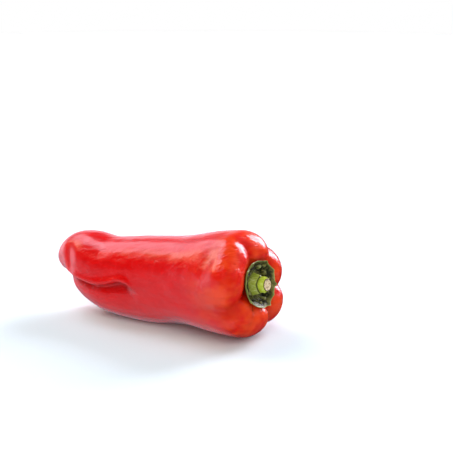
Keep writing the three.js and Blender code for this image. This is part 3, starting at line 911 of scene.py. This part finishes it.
def make_fruit():
    shoulder = SHOULDER_SHARE * np.arange(1, FRUIT_SHOULDER_RINGS + 1) / FRUIT_SHOULDER_RINGS
    quarter = np.arange(1, FRUIT_BODY_RINGS) / FRUIT_BODY_RINGS * math.pi / 2
    body = SHOULDER_SHARE + (1 - SHOULDER_SHARE) * np.sin(quarter) ** SHOULDER_CROWDING
    places = np.concatenate([shoulder, body])
    k = np.arange(FRUIT_AROUND) / FRUIT_AROUND
    crowded = FOLD_ANGLE + 360 * k - CROWDING * np.degrees(np.sin(2 * math.pi * k))
    v, lines = np.meshgrid(places, crowded, indexing="ij")
    follow = bump(turn_between(FOLD_ANGLE, lines), FOLLOW_REACH)
    angle = np.radians(lines + (smooth_rows(FOLD, v)[0] - FOLD_ANGLE) * follow)
    zero = np.zeros(1)
    first, last = skin_point(zero, zero), skin_point(zero + 1, zero)
    points = np.concatenate([first, skin_point(v, angle).reshape(-1, 3), last])
    along = np.concatenate([[0], v.ravel(), [1]])
    attributes = {
        "along": along,
        # how deep each point lies in a valley or the fold; the skin's material paints shade there
        "hollow": np.concatenate([[0], -relief(v, angle).ravel(), [0]]),
        # free to be uneven: not where it rests, nor under the calyx
        "free": step_up(0.4, 4.0, points[:, 2]) * step_up(0.05, 0.09, along),
    }
    faces = ring_faces(len(places), FRUIT_AROUND)
    fruit = mesh_object("fruit_skin", to_frame(points), faces, attributes)
    run_tree(fruit, uneven_skin(pepper_skin()))
    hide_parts("fruit")
    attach(fruit, BODY)


CALYX_AROUND = 320
CALYX_TOP_RINGS = 70
CALYX_UNDER_RINGS = 24
CALYX_UNDER_LIFT = 0.8  # how far the underside rises at the edge


def calyx_outline(angle):
    """Radius of the calyx: straight edges between its corners, with small teeth on some of
    them."""
    degrees = np.degrees(angle) % 360
    radius = np.zeros_like(degrees)
    corners = [row[:2] for row in CALYX_TEETH]
    for (start, reach), (end, next_reach) in zip(corners, corners[1:] + corners[:1]):
        whole = (end - start) % 360
        inside = (degrees - start) % 360
        u = np.clip(inside / whole, 0, 1)
        wedge = math.radians(whole)
        edge = reach * next_reach * math.sin(wedge) / (
            reach * np.sin(wedge * u) + next_reach * np.sin(wedge * (1 - u)))
        bowed = edge + EDGE_BOW * np.sin(math.pi * u)
        radius = np.where(inside <= whole, bowed, radius)
    for at, _, sharp in CALYX_TEETH:
        away = np.abs(turn_between(at, degrees))
        radius += TOOTH_REACH * sharp * np.exp(-away / TOOTH_WIDTH)
    return CALYX_RADIUS * radius


def calyx_height(share, angle):
    """Height of the calyx's upper side over its seat, in millimetres: a moat round the stem's
    foot, a raised ring beyond it, a sagging outer band, ridges out to the corners, and an edge
    that curls up."""
    degrees = np.degrees(angle) % 360
    ring = CALYX_RING + 0.035 * np.sin(3 * angle + 1) + 0.02 * np.sin(5 * angle)
    height = CALYX_THICKNESS + EDGE_CURL * step_up(0.86, 1.0, share)
    for offset, rise, width in CALYX_WAVES:
        height += rise * bump(share - ring - offset, width)
    for at, _, sharp in CALYX_TEETH:
        outer = step_up(0.5, 0.8, share) + sharp * step_up(0.9, 1.0, share)
        height += RIDGE_HEIGHT * bump(turn_between(at, degrees), RIDGE_WIDTH) * outer
    return height


def make_calyx():
    around = np.arange(CALYX_AROUND) / CALYX_AROUND * 2 * math.pi
    top = np.linspace(0, 1, CALYX_TOP_RINGS + 1)[1:] ** 0.8
    share, angle = np.meshgrid(top, around, indexing="ij")
    radius = share * calyx_outline(angle)
    height = calyx_height(share, angle)
    upper = seat_point(radius, angle, SEAT_LIFT + height)
    below = np.linspace(1, 0, CALYX_UNDER_RINGS + 1)[:-1]
    under_share, under_angle = np.meshgrid(below, around, indexing="ij")
    lift = SEAT_LIFT + CALYX_UNDER_LIFT * step_up(0.9, 1.0, under_share)
    under = seat_point(under_share * calyx_outline(under_angle), under_angle, lift)
    zero = np.zeros(1)
    crown = seat_point(zero, zero, SEAT_LIFT + zero + CALYX_THICKNESS)
    base = seat_point(zero, zero, SEAT_LIFT + zero)
    points = np.concatenate([crown, upper.reshape(-1, 3), under.reshape(-1, 3), base])
    flat = np.zeros(under_share.size)
    on_top = {
        "pucker": step_up(0.5, 0.6, share) * (1 - 0.75 * step_up(0.78, 0.97, share)),
        "raised": height - CALYX_THICKNESS,
        "edge": step_up(0.94, 1.0, share),
        "outwards": radius * MM,
        "around_x": np.cos(angle),
        "around_y": np.sin(angle),
    }
    attributes = {
        key: np.concatenate([zero, values.ravel(), flat, zero])
        for key, values in on_top.items()}
    faces = ring_faces(len(top) + CALYX_UNDER_RINGS, CALYX_AROUND)
    calyx = mesh_object("calyx_leaf", to_frame(points), faces, attributes)
    run_tree(calyx, puckered_leaf(calyx_leaf()))
    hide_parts("calyx")
    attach(calyx, BODY)


STEM_SEAT = 0.6  # the stem's foot stands this far up in the calyx


def make_stem():
    stem = mesh_object("stem_stub", np.zeros((1, 3)), [])
    run_tree(stem, grown_stem(stem_flesh()))
    zero = np.zeros(1)
    foot = to_frame(seat_point(zero, zero, zero + SEAT_LIFT + STEM_SEAT))[0]
    axis = Vector(STEM_AXIS)
    across = Vector((0, -1, 0))
    across = (across - axis * across.dot(axis)).normalized()
    up = across.cross(axis)
    turn = Matrix((up, across, axis)).transposed().to_4x4()
    stem.data.transform(Matrix.Translation(Vector(foot)) @ turn)
    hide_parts("stem")
    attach(stem, BODY)


make_camera()
make_studio()
make_fruit()
make_calyx()
make_stem()
